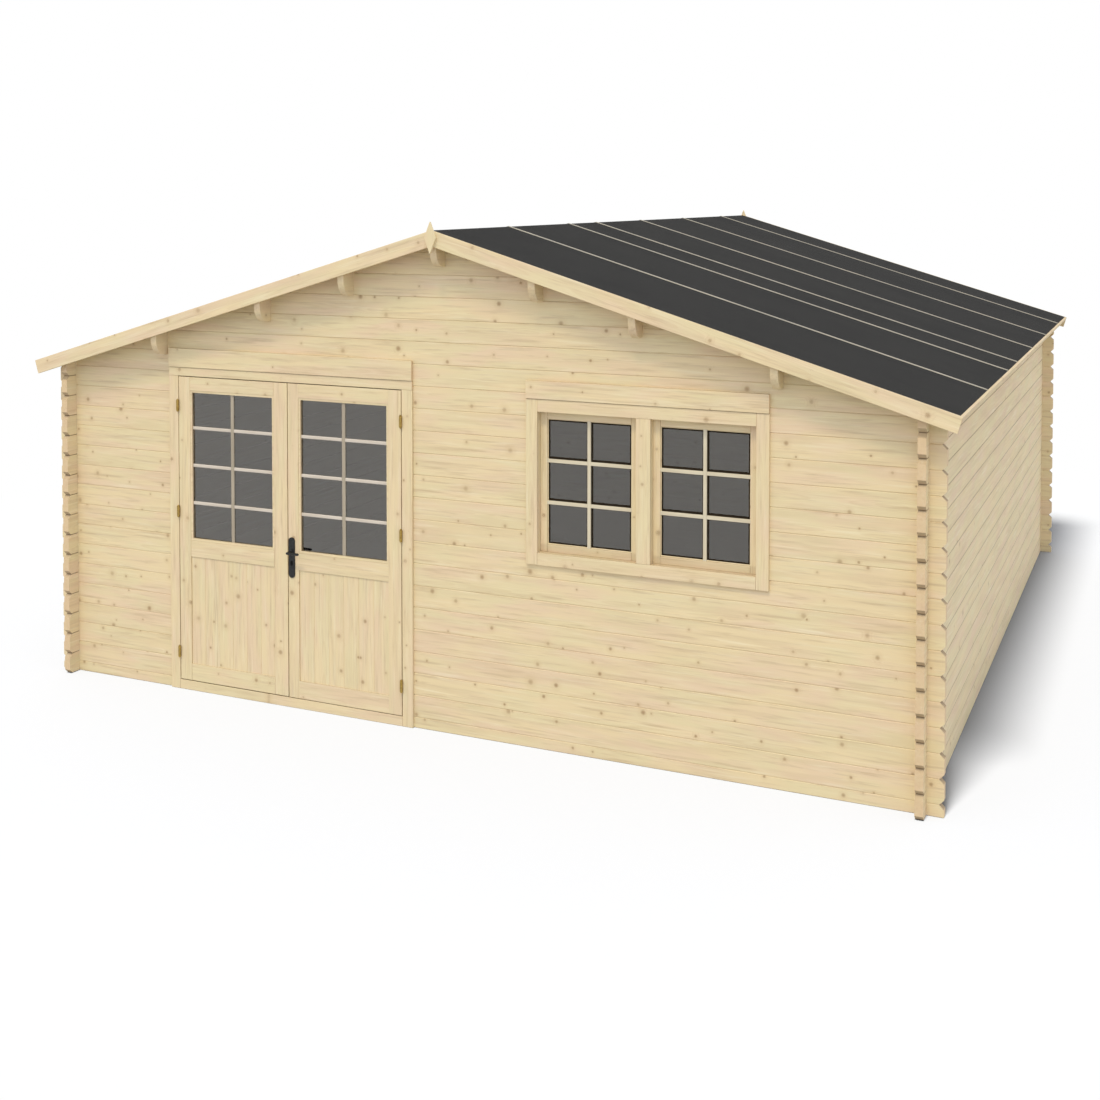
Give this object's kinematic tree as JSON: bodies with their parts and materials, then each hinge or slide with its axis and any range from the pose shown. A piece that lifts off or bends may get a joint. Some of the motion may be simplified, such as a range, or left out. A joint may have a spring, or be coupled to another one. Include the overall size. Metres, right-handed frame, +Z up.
{
  "type": "log cabin",
  "caption": "Gable-roofed log cabin of interlocking planed logs, with felt roof, glazed double doors that open outwards, a lever handle and a fixed double window.",
  "frame": {"origin": "ground level under the middle of the cabin", "axes": "+Z up, the front with the doors faces -Y, +X to the right along the front"},
  "size_m": [6.01, 6.378, 3.0448],
  "materials": {
    "pine_logs": "planed, untreated",
    "pine_boards": "planed, untreated",
    "floor_timber": "planed, untreated",
    "grey_battens": "weathered",
    "roofing_felt": "mineral grit",
    "glass": "clear, dark behind",
    "black_fittings": "satin",
    "brass_hinges": "plated"
  },
  "bodies": {
    "cabin": {"left_wall": "pine_logs", "right_wall": "pine_logs", "front_wall_left": "pine_logs", "front_wall_below_window": "pine_logs", "front_wall_between": "pine_logs", "front_wall_right": "pine_logs", "front_gable": "pine_logs", "back_wall": "pine_logs", "back_gable": "pine_logs", "ridge_purlin": "pine_logs", "side_purlins": "pine_logs", "left_roof_boards": "pine_boards", "right_roof_boards": "pine_boards", "left_roof_felt": "roofing_felt", "right_roof_felt": "roofing_felt", "felt_battens": "grey_battens", "eave_boards": "pine_boards", "front_barge_boards": "pine_boards", "back_barge_boards": "pine_boards", "front_finial": "pine_boards", "back_finial": "pine_boards", "door_frame": "pine_boards", "door_threshold": "pine_boards", "door_lintel_board": "pine_boards", "window_frame": "pine_boards", "window_lintel_board": "pine_boards", "left_window_sash": "pine_boards", "right_window_sash": "pine_boards", "left_window_glass": "glass", "right_window_glass": "glass", "frame_hinges": "brass_hinges", "floor_boards": "floor_timber", "floor_bearers": "floor_timber"},
    "left_door": {"left_door_frame": "pine_boards", "left_door_panel": "pine_boards", "left_door_glass": "glass", "left_door_hinges": "brass_hinges"},
    "right_door": {"right_door_frame": "pine_boards", "right_door_panel": "pine_boards", "right_door_glass": "glass", "right_door_hinges": "brass_hinges", "handle_plates": "black_fittings"},
    "lever": {"door_lever": "black_fittings"}
  },
  "joints": [
    {"name": "left_door_swing", "type": "hinge", "parent": "cabin", "child": "left_door", "pos_m": [-1.9195, -3.0603, 1], "axis": [0, 0, -1], "range_deg": [0, 110]},
    {"name": "right_door_swing", "type": "hinge", "parent": "cabin", "child": "right_door", "pos_m": [-0.2725, -3.0603, 1], "axis": [0, 0, 1], "range_deg": [0, 110]},
    {"name": "lever_turn", "type": "hinge", "parent": "right_door", "child": "lever", "pos_m": [-1.0545, -3.031, 0.982], "axis": [0, 1, 0], "range_deg": [0, 40], "stiffness_Nm_per_rad": 1.5, "springref_deg": -17.19}
  ]
}
